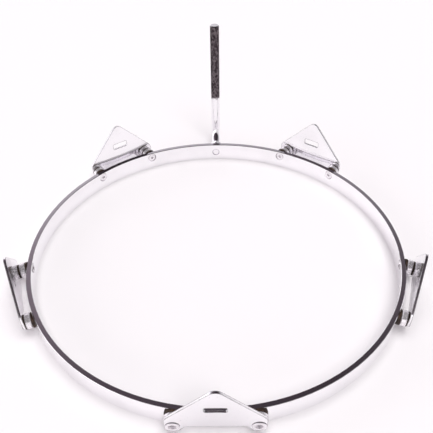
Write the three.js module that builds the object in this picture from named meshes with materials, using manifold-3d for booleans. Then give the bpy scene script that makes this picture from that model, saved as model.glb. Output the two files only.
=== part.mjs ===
// Suspension ring for a 14 inch snare drum: a flat steel hoop, five hanger plates on
// rubber-bushed standoffs, and an L-rod that swivels in a boss at the back.
// Millimetres. +Z is up, and the rod stands at +Y. The pieces are made round the hoop's centre,
// on the plane its lower edge rests on, and at the end the whole part is centred in plan.
import * as THREE from 'three';
import { mergeVertices } from 'three/addons/utils/BufferGeometryUtils.js';
import Module from 'manifold-3d';

const wasm = await Module();
wasm.setup();

// Driving dimensions
const HOOP_RADIUS = 190;
const HOOP_THICKNESS = 4.8;
const HOOP_HEIGHT = 21;
const HOOP_EDGE = 0.4;
const HOOP_SEGMENTS = 120;
const GAP = 0.3;

const PLATE_COUNT = 5;
const PLATE_LEAN = THREE.MathUtils.degToRad(4);
const PLATE_THICKNESS = 2.2;
const PLATE_HALF_WIDTH = 40.5;
const PLATE_CORNER_RADIUS = 8;
const PLATE_TIP_RADIUS = 7;
const PLATE_TIP = 50.6;
const PLATE_SHOULDER = 7.5;
const PLATE_BASE = -7.5;
const PLATE_RELIEF_TOP = -0.5;
const PLATE_RELIEF_HALF = 24;
const PLATE_FOOT_END = 29.5;
const SLOT_LENGTH = 18;
const SLOT_WIDTH = 6.6;
const SLOT_CENTRE = 25.3;
const SLOT_CORNER_RADIUS = 1.5;

const SCREW_RADIUS = 2.5;
const SCREW_CLEARANCE = 0.3;
const SCREW_SPACING = 68;
const SCREW_LEVEL = 14.5;

// Levels of each fixing's stack, along the screw, from the hoop's outer tangent outwards
const HEAD_FACE = -7.8;
const HEAD_RIM = 0.3;
const HEAD_RADIUS = 4.7;
const SOCKET_RADIUS = 1.7;
const SOCKET_DEPTH = 1.5;
const PAD_RADIUS = 7.5;
const STANDOFF_START = -1.3;
const STANDOFF_LENGTH = 5.8;
const STANDOFF_RADIUS = 7.75;
const STANDOFF_CHAMFER = 1.1;
const BUSH_FLANGE_RADIUS = 7;
const BUSH_FLANGE = 0.6;
const BUSH_RADIUS = 5;
const NUT_SLEEVE_RADIUS = 4.1;
const NUT_FLANGE_RADIUS = 6;
const NUT_FLANGE = 0.5;
const NUT_CHAMFER = 0.2;
const NUT_SOCKET_RADIUS = 3.4;
const NUT_SOCKET_DEPTH = 2;

const ROD_RADIUS = 5.25;
const ROD_TOP = 163;
const ROD_LEVEL = HOOP_HEIGHT / 2;
const ROD_OFFSET = 30;
const ROD_BEND = 18;
const ROD_CHAMFER = 1;
const THREAD_RADIUS = 4;
const THREAD_RUNNING_CLEARANCE = 0.07;
const BOSS_RADIUS = 7;
const BOSS_LENGTH = 6;
const JAM_NUT_RADIUS = 7.5;
const JAM_NUT_HEIGHT = 4.6;
const JAM_NUT_CHAMFER = 0.7;

// Facets round each kind of turned piece
const HEXAGON = 6;
const SMALL_SEGMENTS = 16;
const STANDOFF_SEGMENTS = 20;
const ROD_SEGMENTS = 20;
const THREAD_SEGMENTS = 32;
const CORNER_SEGMENTS = 6;

// How far a cutting body runs past the face that it cuts
const OVERRUN = 2;

// Stack positions worked out from the dimensions above
const STANDOFF_END = STANDOFF_START + STANDOFF_LENGTH;
const BUSH_START = STANDOFF_END + GAP / 2;
const PLATE_INNER = BUSH_START + BUSH_FLANGE + GAP / 2;
const PLATE_OUTER = PLATE_INNER + PLATE_THICKNESS;
const NUT_START = PLATE_OUTER + GAP;
const NUT_FACE = NUT_START + NUT_FLANGE;
const SCREW_HOLE = SCREW_RADIUS + SCREW_CLEARANCE;
const SCREW_END = NUT_FACE - NUT_SOCKET_DEPTH - GAP;
const HEAD_CONE_END = HEAD_FACE + HEAD_RIM + HEAD_RADIUS - SCREW_RADIUS;
const ROD_SHOULDER = BOSS_LENGTH + JAM_NUT_HEIGHT + 2 * GAP;

// Helpers between three.js geometry and closed solids
function toSolid(geometry) {
  const bare = geometry.clone();
  bare.deleteAttribute('normal');
  bare.deleteAttribute('uv');
  const merged = mergeVertices(bare, 1e-4);
  const mesh = new wasm.Mesh({
    numProp: 3,
    vertProperties: new Float32Array(merged.attributes.position.array),
    triVerts: new Uint32Array(merged.index.array),
  });
  return new wasm.Manifold(mesh);
}

function toGeometry(solid) {
  const mesh = solid.getMesh();
  const geometry = new THREE.BufferGeometry();
  geometry.setAttribute('position', new THREE.BufferAttribute(mesh.vertProperties, 3));
  geometry.setIndex(new THREE.BufferAttribute(mesh.triVerts, 1));
  return geometry;
}

// A body turned about local Z from [radius, height] points, which close on themselves or
// start and end on the axis
function turned(points, segments) {
  const profile = points.map(([radius, height]) => new THREE.Vector2(radius, height));
  return new THREE.LatheGeometry(profile, segments).rotateX(Math.PI / 2);
}

function tube(inner, outer, low, high, segments) {
  return turned([[inner, low], [outer, low], [outer, high], [inner, high], [inner, low]], segments);
}

function rodBetween(radius, low, high, segments) {
  return turned([[0, low], [radius, low], [radius, high], [0, high]], segments);
}

// Local frame of a hanger plate: X along the hoop, Y up the leaning plate, Z outwards
function plateFrame(azimuth) {
  const radial = new THREE.Vector3(Math.cos(azimuth), Math.sin(azimuth), 0);
  const along = new THREE.Vector3(-Math.sin(azimuth), Math.cos(azimuth), 0);
  const up = new THREE.Vector3(0, 0, Math.cos(PLATE_LEAN)).addScaledVector(radial, Math.sin(PLATE_LEAN));
  const out = new THREE.Vector3().crossVectors(along, up);
  const frame = new THREE.Matrix4().makeBasis(along, up, out);
  frame.setPosition(radial.multiplyScalar(HOOP_RADIUS).setZ(SCREW_LEVEL));
  return frame;
}

function plateAzimuth(index) {
  return -Math.PI / 2 + (index * 2 * Math.PI) / PLATE_COUNT;
}

function screwFrame(index, side) {
  const shift = new THREE.Matrix4().makeTranslation((side * SCREW_SPACING) / 2, 0, 0);
  return plateFrame(plateAzimuth(index)).multiply(shift);
}

// Local frame of the rod's boss: Z outwards along +Y, from the hoop's outer face
function rodFrame() {
  const frame = new THREE.Matrix4().makeRotationX(-Math.PI / 2);
  frame.setPosition(0, HOOP_RADIUS, ROD_LEVEL);
  return frame;
}

function hoopCutter(radius) {
  return toSolid(rodBetween(radius, -HOOP_HEIGHT, 2 * HOOP_HEIGHT, HOOP_SEGMENTS));
}

function makeHoop() {
  const inner = HOOP_RADIUS - HOOP_THICKNESS;
  const outer = HOOP_RADIUS;
  const edge = HOOP_EDGE;
  const top = HOOP_HEIGHT;
  const profile = [
    [inner + edge, 0],
    [outer - edge, 0],
    [outer, edge],
    [outer, top - edge],
    [outer - edge, top],
    [inner + edge, top],
    [inner, top - edge],
    [inner, edge],
    [inner + edge, 0],
  ];
  let hoop = toSolid(turned(profile, HOOP_SEGMENTS));
  for (let index = 0; index < PLATE_COUNT; index += 1) {
    for (const side of [-1, 1]) {
      hoop = hoop.subtract(toSolid(screwHole().applyMatrix4(screwFrame(index, side))));
    }
  }
  const rodHole = rodBetween(THREAD_RADIUS + GAP, -2 * HOOP_THICKNESS, OVERRUN, THREAD_SEGMENTS);
  return toGeometry(hoop.subtract(toSolid(rodHole.applyMatrix4(rodFrame()))));
}

// Countersunk hole through the hoop for one screw
function screwHole() {
  return turned([
    [0, HEAD_FACE - HOOP_THICKNESS],
    [HEAD_RADIUS + GAP, HEAD_FACE - HOOP_THICKNESS],
    [HEAD_RADIUS + GAP, HEAD_FACE + HEAD_RIM],
    [SCREW_HOLE, HEAD_CONE_END],
    [SCREW_HOLE, OVERRUN],
    [0, OVERRUN],
  ], SMALL_SEGMENTS);
}

// Direction, from local +X, in which a slanted side of the plate faces: the common tangent of
// the tip arc and the shoulder arc
function edgeAngle() {
  const across = PLATE_HALF_WIDTH - PLATE_CORNER_RADIUS;
  const drop = PLATE_TIP - PLATE_TIP_RADIUS - PLATE_SHOULDER;
  const spread = Math.acos((PLATE_TIP_RADIUS - PLATE_CORNER_RADIUS) / Math.hypot(across, drop));
  return spread - Math.atan2(drop, across);
}

function makePlate() {
  const across = PLATE_HALF_WIDTH - PLATE_CORNER_RADIUS;
  const baseCentre = PLATE_BASE + PLATE_CORNER_RADIUS;
  const angle = edgeAngle();
  const outline = new THREE.Shape();
  outline.absarc(0, PLATE_TIP - PLATE_TIP_RADIUS, PLATE_TIP_RADIUS, angle, Math.PI - angle, false);
  outline.absarc(-across, PLATE_SHOULDER, PLATE_CORNER_RADIUS, Math.PI - angle, Math.PI, false);
  outline.absarc(-across, baseCentre, PLATE_CORNER_RADIUS, Math.PI, 1.5 * Math.PI, false);
  outline.lineTo(-PLATE_FOOT_END, PLATE_BASE);
  outline.lineTo(-PLATE_RELIEF_HALF, PLATE_RELIEF_TOP);
  outline.lineTo(PLATE_RELIEF_HALF, PLATE_RELIEF_TOP);
  outline.lineTo(PLATE_FOOT_END, PLATE_BASE);
  outline.absarc(across, baseCentre, PLATE_CORNER_RADIUS, -0.5 * Math.PI, 0, false);
  outline.absarc(across, PLATE_SHOULDER, PLATE_CORNER_RADIUS, 0, angle, false);
  for (const side of [-1, 1]) {
    const hole = new THREE.Path();
    hole.absarc((side * SCREW_SPACING) / 2, 0, BUSH_RADIUS + GAP, 0, 2 * Math.PI, true);
    outline.holes.push(hole);
  }
  outline.holes.push(slotPath());
  const plate = new THREE.ExtrudeGeometry(outline, {
    depth: PLATE_THICKNESS,
    bevelEnabled: false,
    curveSegments: CORNER_SEGMENTS,
  });
  return plate.translate(0, 0, PLATE_INNER);
}

function slotPath() {
  const halfLength = SLOT_LENGTH / 2 - SLOT_CORNER_RADIUS;
  const halfWidth = SLOT_WIDTH / 2 - SLOT_CORNER_RADIUS;
  const corners = [[1, 1], [-1, 1], [-1, -1], [1, -1]];
  const slot = new THREE.Path();
  corners.forEach(([x, y], quarter) => {
    const start = (quarter * Math.PI) / 2;
    const centreY = SLOT_CENTRE + y * halfWidth;
    slot.absarc(x * halfLength, centreY, SLOT_CORNER_RADIUS, start, start + Math.PI / 2, false);
  });
  return slot;
}

function makeScrew() {
  const body = toSolid(turned([
    [0, HEAD_FACE],
    [HEAD_RADIUS, HEAD_FACE],
    [HEAD_RADIUS, HEAD_FACE + HEAD_RIM - GAP / 2],
    [SCREW_RADIUS, HEAD_CONE_END - GAP],
    [SCREW_RADIUS, SCREW_END],
    [0, SCREW_END],
  ], SMALL_SEGMENTS));
  const socket = rodBetween(SOCKET_RADIUS, HEAD_FACE - OVERRUN, HEAD_FACE + SOCKET_DEPTH, HEXAGON);
  return toGeometry(body.subtract(toSolid(socket)));
}

// Rubber pad between the hoop and the standoff: its inner face follows the hoop
function makePad(index, side) {
  const blank = tube(SCREW_HOLE, PAD_RADIUS, HEAD_FACE, STANDOFF_START - GAP / 2, SMALL_SEGMENTS);
  const pad = toSolid(blank.applyMatrix4(screwFrame(index, side)));
  return toGeometry(pad.subtract(hoopCutter(HOOP_RADIUS + GAP)));
}

function makeStandoff() {
  const shoulder = STANDOFF_RADIUS - STANDOFF_CHAMFER;
  return turned([
    [SCREW_HOLE, STANDOFF_START],
    [shoulder, STANDOFF_START],
    [STANDOFF_RADIUS, STANDOFF_START + STANDOFF_CHAMFER],
    [STANDOFF_RADIUS, STANDOFF_END - STANDOFF_CHAMFER],
    [shoulder, STANDOFF_END],
    [SCREW_HOLE, STANDOFF_END],
    [SCREW_HOLE, STANDOFF_START],
  ], STANDOFF_SEGMENTS);
}

// Rubber bush that lines the plate's hole, with its flange between standoff and plate
function makeBush() {
  const bore = NUT_SLEEVE_RADIUS + GAP / 2;
  const flangeEnd = BUSH_START + BUSH_FLANGE;
  return turned([
    [bore, BUSH_START],
    [BUSH_FLANGE_RADIUS, BUSH_START],
    [BUSH_FLANGE_RADIUS, flangeEnd],
    [BUSH_RADIUS, flangeEnd],
    [BUSH_RADIUS, PLATE_OUTER],
    [bore, PLATE_OUTER],
    [bore, BUSH_START],
  ], SMALL_SEGMENTS);
}

// Flanged nut whose sleeve reaches through the bush; its hexagon socket opens outwards
function makeSleeveNut() {
  const body = toSolid(turned([
    [SCREW_HOLE, BUSH_START],
    [NUT_SLEEVE_RADIUS, BUSH_START],
    [NUT_SLEEVE_RADIUS, NUT_START],
    [NUT_FLANGE_RADIUS, NUT_START],
    [NUT_FLANGE_RADIUS, NUT_FACE - NUT_CHAMFER],
    [NUT_FLANGE_RADIUS - NUT_CHAMFER, NUT_FACE],
    [SCREW_HOLE, NUT_FACE],
    [SCREW_HOLE, BUSH_START],
  ], STANDOFF_SEGMENTS));
  const socket = rodBetween(NUT_SOCKET_RADIUS, NUT_FACE - NUT_SOCKET_DEPTH, NUT_FACE + OVERRUN, HEXAGON);
  return toGeometry(body.subtract(toSolid(socket)));
}

// The rod's centre line: a short run out from the hoop, a quarter bend and the upright stem.
// Stations are shared out so that the two straight runs take one step each.
function rodPath(steps) {
  const bendStart = ROD_OFFSET - ROD_BEND;
  const stemStart = ROD_LEVEL + ROD_BEND;
  const firstRun = 1 / steps;
  const path = new THREE.Curve();
  path.getUtoTmapping = (u) => u;
  path.getPoint = (t) => {
    const shareOut = Math.min(t / firstRun, 1);
    const shareTurn = Math.min(Math.max((t - firstRun) / (1 - 2 * firstRun), 0), 1);
    const shareUp = Math.max((t - 1 + firstRun) / firstRun, 0);
    const turn = (shareTurn * Math.PI) / 2;
    const reach = ROD_SHOULDER + (bendStart - ROD_SHOULDER) * shareOut + ROD_BEND * Math.sin(turn);
    const rise = ROD_BEND * (1 - Math.cos(turn)) + (ROD_TOP - stemStart) * shareUp;
    return new THREE.Vector3(0, HOOP_RADIUS + reach, ROD_LEVEL + rise);
  };
  return path;
}

function makeRod() {
  const steps = 11;
  const section = new THREE.Shape();
  section.absarc(0, 0, ROD_RADIUS, 0, 2 * Math.PI, false);
  const bar = toSolid(new THREE.ExtrudeGeometry(section, {
    extrudePath: rodPath(steps),
    steps,
    bevelEnabled: false,
    curveSegments: ROD_SEGMENTS,
  }));
  const threadEnd = GAP - HOOP_THICKNESS;
  const thread = toSolid(turned([
    [0, threadEnd],
    [THREAD_RADIUS - GAP, threadEnd],
    [THREAD_RADIUS, threadEnd + 2 * GAP],
    [THREAD_RADIUS, ROD_SHOULDER + OVERRUN],
    [0, ROD_SHOULDER + OVERRUN],
  ], THREAD_SEGMENTS).applyMatrix4(rodFrame()));
  const chamfer = toSolid(turned([
    [ROD_RADIUS - ROD_CHAMFER, ROD_TOP],
    [ROD_RADIUS + ROD_CHAMFER, ROD_TOP - 2 * ROD_CHAMFER],
    [ROD_RADIUS + ROD_CHAMFER, ROD_TOP + ROD_CHAMFER],
    [ROD_RADIUS - ROD_CHAMFER, ROD_TOP + ROD_CHAMFER],
    [ROD_RADIUS - ROD_CHAMFER, ROD_TOP],
  ], ROD_SEGMENTS).translate(0, HOOP_RADIUS + ROD_OFFSET, 0));
  return toGeometry(bar.add(thread).subtract(chamfer));
}

function makeBoss() {
  const bore = THREAD_RADIUS + THREAD_RUNNING_CLEARANCE;
  const blank = tube(bore, BOSS_RADIUS, -OVERRUN, BOSS_LENGTH, THREAD_SEGMENTS);
  return toGeometry(toSolid(blank.applyMatrix4(rodFrame())).subtract(hoopCutter(HOOP_RADIUS + GAP)));
}

function makeJamNut() {
  const bore = THREAD_RADIUS + THREAD_RUNNING_CLEARANCE;
  const low = BOSS_LENGTH + GAP;
  const high = low + JAM_NUT_HEIGHT;
  const corner = JAM_NUT_RADIUS - JAM_NUT_CHAMFER;
  const hexagon = toSolid(rodBetween(JAM_NUT_RADIUS, low, high, HEXAGON));
  const rounded = toSolid(turned([
    [bore, low],
    [corner, low],
    [JAM_NUT_RADIUS, low + JAM_NUT_CHAMFER],
    [JAM_NUT_RADIUS, high - JAM_NUT_CHAMFER],
    [corner, high],
    [bore, high],
    [bore, low],
  ], THREAD_SEGMENTS));
  return toGeometry(rounded.intersect(hexagon)).applyMatrix4(rodFrame());
}

// Materials, one per finish; each mesh gets its own copy
const CHROME = { color: 0xd8d8dc, roughness: 0.08, metalness: 1 };
const POLISHED_STEEL = { color: 0xcfcfd3, roughness: 0.15, metalness: 1 };
const DARK_RUBBER = { color: 0x2a211c, roughness: 0.75, metalness: 0 };

const group = new THREE.Group();

function addPart(name, geometry, finish) {
  const mesh = new THREE.Mesh(geometry, new THREE.MeshStandardMaterial(finish));
  mesh.name = name;
  group.add(mesh);
}

addPart('hoop', makeHoop(), CHROME);
for (let index = 0; index < PLATE_COUNT; index += 1) {
  const number = index + 1;
  addPart(`hanger_plate_${number}`, makePlate().applyMatrix4(plateFrame(plateAzimuth(index))), POLISHED_STEEL);
  for (const side of [-1, 1]) {
    const place = screwFrame(index, side);
    const label = `${number}${side < 0 ? 'a' : 'b'}`;
    addPart(`screw_${label}`, makeScrew().applyMatrix4(place), CHROME);
    addPart(`rubber_pad_${label}`, makePad(index, side), DARK_RUBBER);
    addPart(`standoff_${label}`, makeStandoff().applyMatrix4(place), CHROME);
    addPart(`rubber_bush_${label}`, makeBush().applyMatrix4(place), DARK_RUBBER);
    addPart(`sleeve_nut_${label}`, makeSleeveNut().applyMatrix4(place), CHROME);
  }
}
addPart('rod_boss', makeBoss(), CHROME);
addPart('jam_nut', makeJamNut(), CHROME);
addPart('l_rod', makeRod(), CHROME);

// Centre the whole part in plan, between the front plate's tip and the back of the rod
const extent = new THREE.Box3().setFromObject(group);
const middle = (extent.min.y + extent.max.y) / 2;
group.children.forEach((mesh) => mesh.geometry.translate(0, -middle, 0));

export default group;
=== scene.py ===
"""Looks of the snare drum suspension ring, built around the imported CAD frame."""
import math

import bmesh
import bpy
from mathutils import Matrix, Vector


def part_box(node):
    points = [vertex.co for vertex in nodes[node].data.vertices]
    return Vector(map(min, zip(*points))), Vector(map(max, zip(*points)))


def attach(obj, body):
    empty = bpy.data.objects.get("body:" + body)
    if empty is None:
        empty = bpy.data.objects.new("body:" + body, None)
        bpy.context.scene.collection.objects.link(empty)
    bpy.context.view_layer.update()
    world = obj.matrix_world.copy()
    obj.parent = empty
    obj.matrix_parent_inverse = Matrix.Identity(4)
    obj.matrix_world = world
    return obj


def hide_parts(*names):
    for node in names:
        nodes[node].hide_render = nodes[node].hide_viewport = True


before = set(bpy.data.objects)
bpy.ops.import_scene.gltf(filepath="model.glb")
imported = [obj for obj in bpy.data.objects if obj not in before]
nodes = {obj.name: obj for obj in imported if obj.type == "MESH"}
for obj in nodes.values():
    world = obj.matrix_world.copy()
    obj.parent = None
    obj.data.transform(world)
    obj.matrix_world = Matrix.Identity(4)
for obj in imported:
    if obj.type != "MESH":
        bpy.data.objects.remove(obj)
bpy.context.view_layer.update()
hoop_low, hoop_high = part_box("hoop")
rod_low, rod_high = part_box("l_rod")

HOOP_RADIUS = (hoop_high.x - hoop_low.x) / 2
HOOP_CENTRE = Vector((0, (hoop_low.y + hoop_high.y) / 2, 0))

# Camera, from the photograph's viewing angle: where it stands relative to the hoop. The lens and
# the sensor are in millimetres.
CAMERA_ASIDE = 0.006 * HOOP_RADIUS
CAMERA_BACK = 2.325 * HOOP_RADIUS
CAMERA_ABOVE_HOOP = 2.193 * HOOP_RADIUS
CAMERA_AZIMUTH = math.radians(0.5)
CAMERA_DOWN = math.radians(40.5)
CAMERA_ROLL = math.radians(-0.83)
CAMERA_LENS = 49.1
CAMERA_SENSOR = 36

# Rod, in metres, from its CAD box and the hoop's level. The boss stack is the length of boss and
# nut before the rod's shoulder. The dark gripping zone starts a little below the knurl, at an
# edge that wanders by a few millimetres all round the rod.
ROD_RADIUS = (rod_high.x - rod_low.x) / 2
ROD_LEVEL = hoop_high.z / 2
ROD_BEND = 0.018
ROD_BEND_STEPS = 16
ROD_CHAMFER = 0.001
THREAD_RADIUS = 0.004
THREAD_CHAMFER = 0.0003
THREAD_CHAMFER_LENGTH = 0.0006
BOSS_STACK = 0.0112
ROD_SIDES = 112
KNURL_START = 0.074
KNURL_DEPTH = 0.00022
KNURL_COUNT = 28
KNURL_PITCH = 0.0016
KNURL_STEPS = 4
GRIP_WANDER = 0.012
GRIP_FADE = 0.004

# Studio. Each light has the direction that it shines from, a strength and a spread in degrees.
FLOOR_HALF_WIDTH = 60.0
FLOOR_COLOUR = (0.965, 0.935, 0.95, 1)
KEY_LIGHT = ((0.28, -0.66, 1.0), 0.82, 24)
OVERHEAD_LIGHT = ((0.1, 0.05, 1.0), 1.8, 50)
ALL_BOUNCES = 16
MIRROR_BOUNCES = 12

# CAD facets are joined at shared points, and shaded smooth where they meet at less than an angle
JOIN_DISTANCE = 2e-6
SMOOTH_BELOW = math.radians(32)

# Finishes. A grain is the noise's stretch along each axis, and the fine bump is in metres.
CHROME = (0.965, 0.955, 0.975)
SATIN = (0.9, 0.87, 0.9)
# Colours for pits and dark edges. On the edges they are partly wear and partly painted reflection of
# the dark overhead in the rounded edges, darkest on the plates.
HOOP_WEAR_AND_EDGE_REFLECTION = (0.32, 0.27, 0.29)
PLATE_WEAR_AND_EDGE_REFLECTION = (0.06, 0.045, 0.05)
FITTING_WEAR_AND_EDGE_REFLECTION = (0.25, 0.2, 0.22)
DULLED = 0.95
GRAIN_AROUND = (9, 9, 1400)
GRAIN_TURNED = (500, 500, 500)
GRAIN_ROD = (60, 60, 1500)
FINE_BUMP = 0.00001
FINE_BUMP_STRENGTH = 0.25
BEVEL_SAMPLES = 4
RUBBER_EDGE = 0.0006
RUBBER_BUMP = 0.0001


def make_camera():
    data = bpy.data.cameras.new("camera")
    data.lens = CAMERA_LENS
    data.sensor_width = CAMERA_SENSOR
    camera = bpy.data.objects.new("camera", data)
    bpy.context.scene.collection.objects.link(camera)
    place = Vector((CAMERA_ASIDE, -CAMERA_BACK, hoop_high.z + CAMERA_ABOVE_HOOP))
    turn = Matrix.Rotation(math.pi / 2 - CAMERA_DOWN, 4, "X") @ Matrix.Rotation(CAMERA_ROLL, 4, "Z")
    round_hoop = Matrix.Translation(HOOP_CENTRE) @ Matrix.Rotation(CAMERA_AZIMUTH, 4, "Z")
    camera.matrix_world = round_hoop @ Matrix.Translation(place) @ turn
    bpy.context.scene.camera = camera


def node(tree, kind, **settings):
    made = tree.nodes.new(kind)
    for name, value in settings.items():
        setattr(made, name, value)
    return made


def ramp(tree, value, stops):
    """A colour ramp over value, from (position, colour) pairs."""
    made = node(tree, "ShaderNodeValToRGB")
    elements = made.color_ramp.elements
    elements[0].position, elements[0].color = stops[0][0], (*stops[0][1], 1)
    elements[1].position, elements[1].color = stops[-1][0], (*stops[-1][1], 1)
    for position, colour in stops[1:-1]:
        elements.new(position).color = (*colour, 1)
    tree.links.new(value, made.inputs[0])
    return made.outputs[0]


def rescale(tree, value, low, high, to_low, to_high):
    made = node(tree, "ShaderNodeMapRange", interpolation_type="SMOOTHSTEP")
    for name, number in zip(("From Min", "From Max", "To Min", "To Max"), (low, high, to_low, to_high)):
        made.inputs[name].default_value = number
    tree.links.new(value, made.inputs["Value"])
    return made.outputs["Result"]


def math_node(tree, operation, first, second):
    made = node(tree, "ShaderNodeMath", operation=operation)
    for socket, value in zip(made.inputs, (first, second)):
        if isinstance(value, (int, float)):
            socket.default_value = value
        else:
            tree.links.new(value, socket)
    return made.outputs[0]


def mix_colours(tree, factor, first, second):
    made = node(tree, "ShaderNodeMix", data_type="RGBA")
    tree.links.new(factor, made.inputs["Factor"])
    for name, value in (("A", first), ("B", second)):
        socket = next(s for s in made.inputs if s.name == name and s.type == "RGBA")
        if isinstance(value, tuple):
            socket.default_value = (*value, 1)
        else:
            tree.links.new(value, socket)
    return next(s for s in made.outputs if s.type == "RGBA")


def noise(tree, scale, stretch=(1, 1, 1), detail=3.0):
    """Noise over the object's own coordinates, in metres, stretched per axis."""
    coordinates = node(tree, "ShaderNodeTexCoord")
    mapping = node(tree, "ShaderNodeMapping")
    mapping.inputs["Scale"].default_value = stretch
    tree.links.new(coordinates.outputs["Object"], mapping.inputs["Vector"])
    made = node(tree, "ShaderNodeTexNoise")
    made.inputs["Scale"].default_value = scale
    made.inputs["Detail"].default_value = detail
    tree.links.new(mapping.outputs["Vector"], made.inputs["Vector"])
    return made.outputs["Fac"]


def bump(tree, height, distance, strength, normal=None):
    made = node(tree, "ShaderNodeBump")
    made.inputs["Distance"].default_value = distance
    made.inputs["Strength"].default_value = strength
    tree.links.new(height, made.inputs["Height"])
    if normal is not None:
        tree.links.new(normal, made.inputs["Normal"])
    return made.outputs["Normal"]


def make_world():
    """Studio sky: pale walls, dark overhead, grey higher up the back wall, lighter on the left."""
    world = bpy.data.worlds.new("studio")
    bpy.context.scene.world = world
    world.use_nodes = True
    tree = world.node_tree
    tree.nodes.clear()
    direction = node(tree, "ShaderNodeTexCoord")
    parts = node(tree, "ShaderNodeSeparateXYZ")
    tree.links.new(direction.outputs["Generated"], parts.inputs[0])
    back = ramp(tree, parts.outputs["Z"], (
        (0.0, (0.95, 0.93, 0.95)),
        (0.2, (0.75, 0.73, 0.76)),
        (0.5, (0.46, 0.44, 0.47)),
        (0.66, (0.14, 0.115, 0.135)),
        (0.82, (0.05, 0.038, 0.047)),
        (1.0, (0.045, 0.035, 0.042)),
    ))
    front = ramp(tree, parts.outputs["Z"], (
        (0.0, (0.95, 0.93, 0.95)),
        (0.38, (0.92, 0.89, 0.91)),
        (0.54, (0.12, 0.1, 0.115)),
        (0.64, (0.045, 0.035, 0.042)),
        (1.0, (0.045, 0.035, 0.042)),
    ))
    sky = mix_colours(tree, rescale(tree, parts.outputs["Y"], -0.15, 0.3, 0, 1), front, back)
    background = node(tree, "ShaderNodeBackground")
    tree.links.new(sky, background.inputs["Color"])
    strength = rescale(tree, parts.outputs["X"], -0.45, 0.35, 1.7, 0.75)
    tree.links.new(strength, background.inputs["Strength"])
    output = node(tree, "ShaderNodeOutputWorld")
    tree.links.new(background.outputs[0], output.inputs[0])


def make_light(name, source, strength, spread):
    """A large soft light; the metal mirrors the studio and not the lamp."""
    data = bpy.data.lights.new(name, "SUN")
    data.energy = strength
    data.angle = math.radians(spread)
    light = bpy.data.objects.new(name, data)
    bpy.context.scene.collection.objects.link(light)
    light.rotation_euler = Vector(source).to_track_quat("Z", "Y").to_euler()
    light.visible_glossy = False


def make_floor():
    half = FLOOR_HALF_WIDTH
    mesh = bpy.data.meshes.new("floor")
    corners = [(-half, -half, 0), (half, -half, 0), (half, half, 0), (-half, half, 0)]
    mesh.from_pydata(corners, [], [(0, 1, 2, 3)])
    floor = bpy.data.objects.new("floor", mesh)
    bpy.context.scene.collection.objects.link(floor)
    material = bpy.data.materials.new("floor_paper")
    material.use_nodes = True
    shader = material.node_tree.nodes["Principled BSDF"]
    shader.inputs["Base Color"].default_value = FLOOR_COLOUR
    shader.inputs["Roughness"].default_value = 0.9
    shader.inputs["Specular IOR Level"].default_value = 0.1
    mesh.materials.append(material)


def new_material(name):
    material = bpy.data.materials.new(name)
    material.use_nodes = True
    return material, material.node_tree, material.node_tree.nodes["Principled BSDF"]


def edge_mask(tree, radius):
    """A rounded normal near edges, and a mask that is 1 on those edges."""
    rounded = node(tree, "ShaderNodeBevel", samples=BEVEL_SAMPLES)
    rounded.inputs["Radius"].default_value = radius
    flat = node(tree, "ShaderNodeNewGeometry")
    product = node(tree, "ShaderNodeVectorMath", operation="DOT_PRODUCT")
    tree.links.new(rounded.outputs["Normal"], product.inputs[0])
    tree.links.new(flat.outputs["Normal"], product.inputs[1])
    return rounded.outputs["Normal"], rescale(tree, product.outputs["Value"], 0.82, 0.998, 1, 0)


def make_metal(name, colour, shine, grain, edge, wear_and_edge_reflection, metallic=1.0):
    """Plated steel: smudges, polishing lines along the grain, small pits, and patchy dark edges that
    are partly wear and partly painted reflection of the dark overhead.
    """
    material, tree, shader = new_material(name)
    dull = tuple(DULLED * part for part in colour)
    rounded, edges = edge_mask(tree, edge)
    smudges = rescale(tree, noise(tree, 22), 0.42, 0.68, 0, 1)
    specks = rescale(tree, noise(tree, 900, detail=1), 0.72, 0.8, 0, 1)
    lines = noise(tree, 1, grain, 4)
    # Painted reflection: rounded edges are darkened in patches to stand in for the dark overhead they
    # mirror. The same colour also marks the pits.
    patchy_edge_reflection = math_node(tree, "MULTIPLY", edges, rescale(tree, noise(tree, 160), 0.3, 0.6, 0.5, 0.95))
    plated = mix_colours(tree, smudges, colour, dull)
    marked = mix_colours(tree, math_node(tree, "MULTIPLY", specks, 0.4), plated, wear_and_edge_reflection)
    tree.links.new(mix_colours(tree, patchy_edge_reflection, marked, wear_and_edge_reflection), shader.inputs["Base Color"])
    base = rescale(tree, lines, 0.3, 0.7, shine, 1.7 * shine)
    hazy = math_node(tree, "ADD", base, math_node(tree, "MULTIPLY", smudges, 0.05))
    rubbed = math_node(tree, "MULTIPLY", edges, 0.12)
    tree.links.new(math_node(tree, "ADD", hazy, rubbed), shader.inputs["Roughness"])
    shader.inputs["Metallic"].default_value = metallic
    tree.links.new(bump(tree, lines, FINE_BUMP, FINE_BUMP_STRENGTH, rounded), shader.inputs["Normal"])
    return material


def make_rubber():
    """Dark brown rubber with a fine grain, a dusty bloom and rubbed edges."""
    material, tree, shader = new_material("black_rubber")
    _, edges = edge_mask(tree, RUBBER_EDGE)
    grain = noise(tree, 1400, detail=4)
    bloom = rescale(tree, noise(tree, 260), 0.4, 0.72, 0, 1)
    body = mix_colours(tree, bloom, (0.022, 0.012, 0.009), (0.075, 0.045, 0.032))
    rubbed = math_node(tree, "MULTIPLY", edges, 0.4)
    tree.links.new(mix_colours(tree, rubbed, body, (0.13, 0.09, 0.07)), shader.inputs["Base Color"])
    tree.links.new(rescale(tree, grain, 0.3, 0.7, 0.5, 0.85), shader.inputs["Roughness"])
    tree.links.new(bump(tree, grain, RUBBER_BUMP, 0.6), shader.inputs["Normal"])
    return material


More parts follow.
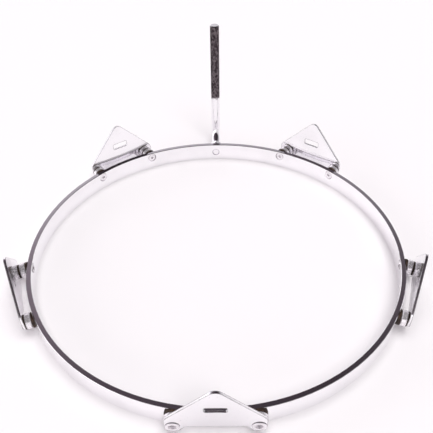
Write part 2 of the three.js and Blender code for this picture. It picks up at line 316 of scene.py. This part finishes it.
def make_rod_finish():
    """Chrome on the foot and the bare end, with a mottled dark gripping zone between them."""
    material, tree, shader = new_material("rod_chrome")
    coordinates = node(tree, "ShaderNodeTexCoord")
    parts = node(tree, "ShaderNodeSeparateXYZ")
    tree.links.new(coordinates.outputs["Object"], parts.inputs[0])
    wander = math_node(tree, "MULTIPLY", noise(tree, 160), GRIP_WANDER)
    height = math_node(tree, "SUBTRACT", parts.outputs["Z"], wander)
    edge = KNURL_START - GRIP_WANDER
    below = rescale(tree, height, edge, edge + GRIP_FADE, 0, 1)
    bare_end = rescale(tree, parts.outputs["Z"], rod_high.z - ROD_CHAMFER, rod_high.z, 1, 0)
    zone = math_node(tree, "MULTIPLY", below, bare_end)
    mottle = rescale(tree, noise(tree, 560, (1, 1, 0.5), 4), 0.36, 0.66, 0, 1)
    grip = mix_colours(tree, mottle, (0.03, 0.022, 0.026), (0.17, 0.145, 0.155))
    smudges = rescale(tree, noise(tree, 30), 0.42, 0.68, 0, 1)
    plated = mix_colours(tree, smudges, (0.96, 0.95, 0.97), (0.89, 0.87, 0.9))
    tree.links.new(mix_colours(tree, zone, plated, grip), shader.inputs["Base Color"])
    fine = noise(tree, 1, GRAIN_ROD)
    smooth = rescale(tree, fine, 0.3, 0.7, 0.05, 0.12)
    rough = math_node(tree, "MULTIPLY", zone, 0.28)
    tree.links.new(math_node(tree, "ADD", smooth, rough), shader.inputs["Roughness"])
    shader.inputs["Metallic"].default_value = 1
    tree.links.new(bump(tree, fine, FINE_BUMP, FINE_BUMP_STRENGTH), shader.inputs["Normal"])
    return material


def smoothing_group():
    """Joins the CAD facets and shades them smooth except across real edges."""
    group = bpy.data.node_groups.new("smooth_shading", "GeometryNodeTree")
    group.interface.new_socket("Geometry", in_out="INPUT", socket_type="NodeSocketGeometry")
    group.interface.new_socket("Geometry", in_out="OUTPUT", socket_type="NodeSocketGeometry")
    source = node(group, "NodeGroupInput")
    merge = node(group, "GeometryNodeMergeByDistance")
    merge.inputs["Distance"].default_value = JOIN_DISTANCE
    faces = node(group, "GeometryNodeSetShadeSmooth", domain="FACE")
    edges = node(group, "GeometryNodeSetShadeSmooth", domain="EDGE")
    angle = node(group, "GeometryNodeInputMeshEdgeAngle")
    compare = node(group, "FunctionNodeCompare", data_type="FLOAT", operation="LESS_THAN")
    compare.inputs["B"].default_value = SMOOTH_BELOW
    target = node(group, "NodeGroupOutput")
    links = group.links
    links.new(source.outputs[0], merge.inputs["Geometry"])
    links.new(merge.outputs[0], faces.inputs["Geometry"])
    links.new(faces.outputs[0], edges.inputs["Geometry"])
    links.new(angle.outputs["Unsigned Angle"], compare.inputs["A"])
    links.new(compare.outputs["Result"], edges.inputs["Shade Smooth"])
    links.new(edges.outputs[0], target.inputs[0])
    return group


def knurl_cut(height, share):
    """Depth of the diamond knurl at a height above its start and a share of a turn."""
    row = height / KNURL_PITCH
    column = share * KNURL_COUNT
    grooves = [abs((column + sign * row) % 1 - 0.5) * 2 for sign in (-1, 1)]
    return KNURL_DEPTH * max(grooves) ** 3


def rod_stations():
    """Centre, sideways direction, radius and height into the knurl of each ring of the rod."""
    stem = rod_high.y - ROD_RADIUS
    up = Vector((0, 0, 1))
    forward = Vector((0, -1, 0))
    shoulder = HOOP_CENTRE.y + HOOP_RADIUS + BOSS_STACK
    runs = [
        (rod_low.y, THREAD_RADIUS - THREAD_CHAMFER),
        (rod_low.y + THREAD_CHAMFER_LENGTH, THREAD_RADIUS),
        (shoulder, THREAD_RADIUS),
        (shoulder, ROD_RADIUS),
    ]
    stations = [(Vector((0, y, ROD_LEVEL)), up, radius, None) for y, radius in runs]
    for step in range(ROD_BEND_STEPS + 1):
        turn = step / ROD_BEND_STEPS * math.pi / 2
        y = stem - ROD_BEND + ROD_BEND * math.sin(turn)
        z = ROD_LEVEL + ROD_BEND * (1 - math.cos(turn))
        side = Vector((0, -math.sin(turn), math.cos(turn)))
        stations.append((Vector((0, y, z)), side, ROD_RADIUS, None))
    top = rod_high.z - ROD_CHAMFER
    rings = int((top - KNURL_START) / KNURL_PITCH * KNURL_STEPS)
    for ring in range(rings + 1):
        rise = ring * KNURL_PITCH / KNURL_STEPS
        stations.append((Vector((0, stem, KNURL_START + rise)), forward, ROD_RADIUS, rise))
    stations.append((Vector((0, stem, top)), forward, ROD_RADIUS, None))
    stations.append((Vector((0, stem, rod_high.z)), forward, ROD_RADIUS - ROD_CHAMFER, None))
    return stations


def make_rod(finish):
    """The L-rod again at its CAD size, with the diamond knurl cut into its upper stem."""
    mesh = bmesh.new()
    rings = []
    for centre, side, radius, rise in rod_stations():
        ring = []
        for index in range(ROD_SIDES):
            share = index / ROD_SIDES
            turn = 2 * math.pi * share
            reach = radius - (knurl_cut(rise, share) if rise is not None else 0)
            around = math.cos(turn) * Vector((1, 0, 0)) + math.sin(turn) * side
            ring.append(mesh.verts.new(centre + reach * around))
        rings.append(ring)
    for lower, upper in zip(rings, rings[1:]):
        for index in range(ROD_SIDES):
            after = (index + 1) % ROD_SIDES
            mesh.faces.new((lower[index], lower[after], upper[after], upper[index]))
    mesh.faces.new(reversed(rings[0]))
    mesh.faces.new(rings[-1])
    bmesh.ops.recalc_face_normals(mesh, faces=mesh.faces)
    for face in mesh.faces:
        face.smooth = len(face.verts) == 4
    for edge in mesh.edges:
        if len(edge.link_faces) == 2 and edge.calc_face_angle() > SMOOTH_BELOW:
            edge.smooth = False
    data = bpy.data.meshes.new("l_rod_stem")
    mesh.to_mesh(data)
    mesh.free()
    data.materials.append(finish)
    rod = bpy.data.objects.new("l_rod_knurled", data)
    bpy.context.scene.collection.objects.link(rod)
    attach(rod, "rod")
    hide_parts("l_rod")


def dress():
    """Gives every CAD node the finish that goes with the first word of its name."""
    standoff = ("standoff_chrome", SATIN, 0.16, GRAIN_TURNED, 0.0006, FITTING_WEAR_AND_EDGE_REFLECTION, 0.72)
    fastener = ("fastener_chrome", SATIN, 0.12, GRAIN_TURNED, 0.0004, FITTING_WEAR_AND_EDGE_REFLECTION, 0.6)
    finishes = {
        "hoop": make_metal("hoop_chrome", CHROME, 0.05, GRAIN_AROUND, 0.0005, HOOP_WEAR_AND_EDGE_REFLECTION),
        "hanger": make_metal("polished_plate", CHROME, 0.07, GRAIN_AROUND, 0.0013, PLATE_WEAR_AND_EDGE_REFLECTION),
        "standoff": make_metal(*standoff),
        "fastener": make_metal(*fastener),
        "rod": make_rod_finish(),
        "rubber": make_rubber(),
    }
    kinds = {"sleeve": "fastener", "screw": "fastener", "jam": "rod", "l": "rod"}
    group = smoothing_group()
    for name, thing in nodes.items():
        kind = name.split("_")[0]
        for slot in thing.material_slots:
            slot.material = finishes[kinds.get(kind, kind)]
        thing.modifiers.new("smooth", "NODES").node_group = group
    make_rod(finishes["rod"])


make_camera()
make_world()
make_light("key", *KEY_LIGHT)
make_light("overhead", *OVERHEAD_LIGHT)
make_floor()
dress()
scene = bpy.context.scene
scene.view_settings.view_transform = "Standard"
scene.cycles.max_bounces = ALL_BOUNCES
scene.cycles.glossy_bounces = MIRROR_BOUNCES
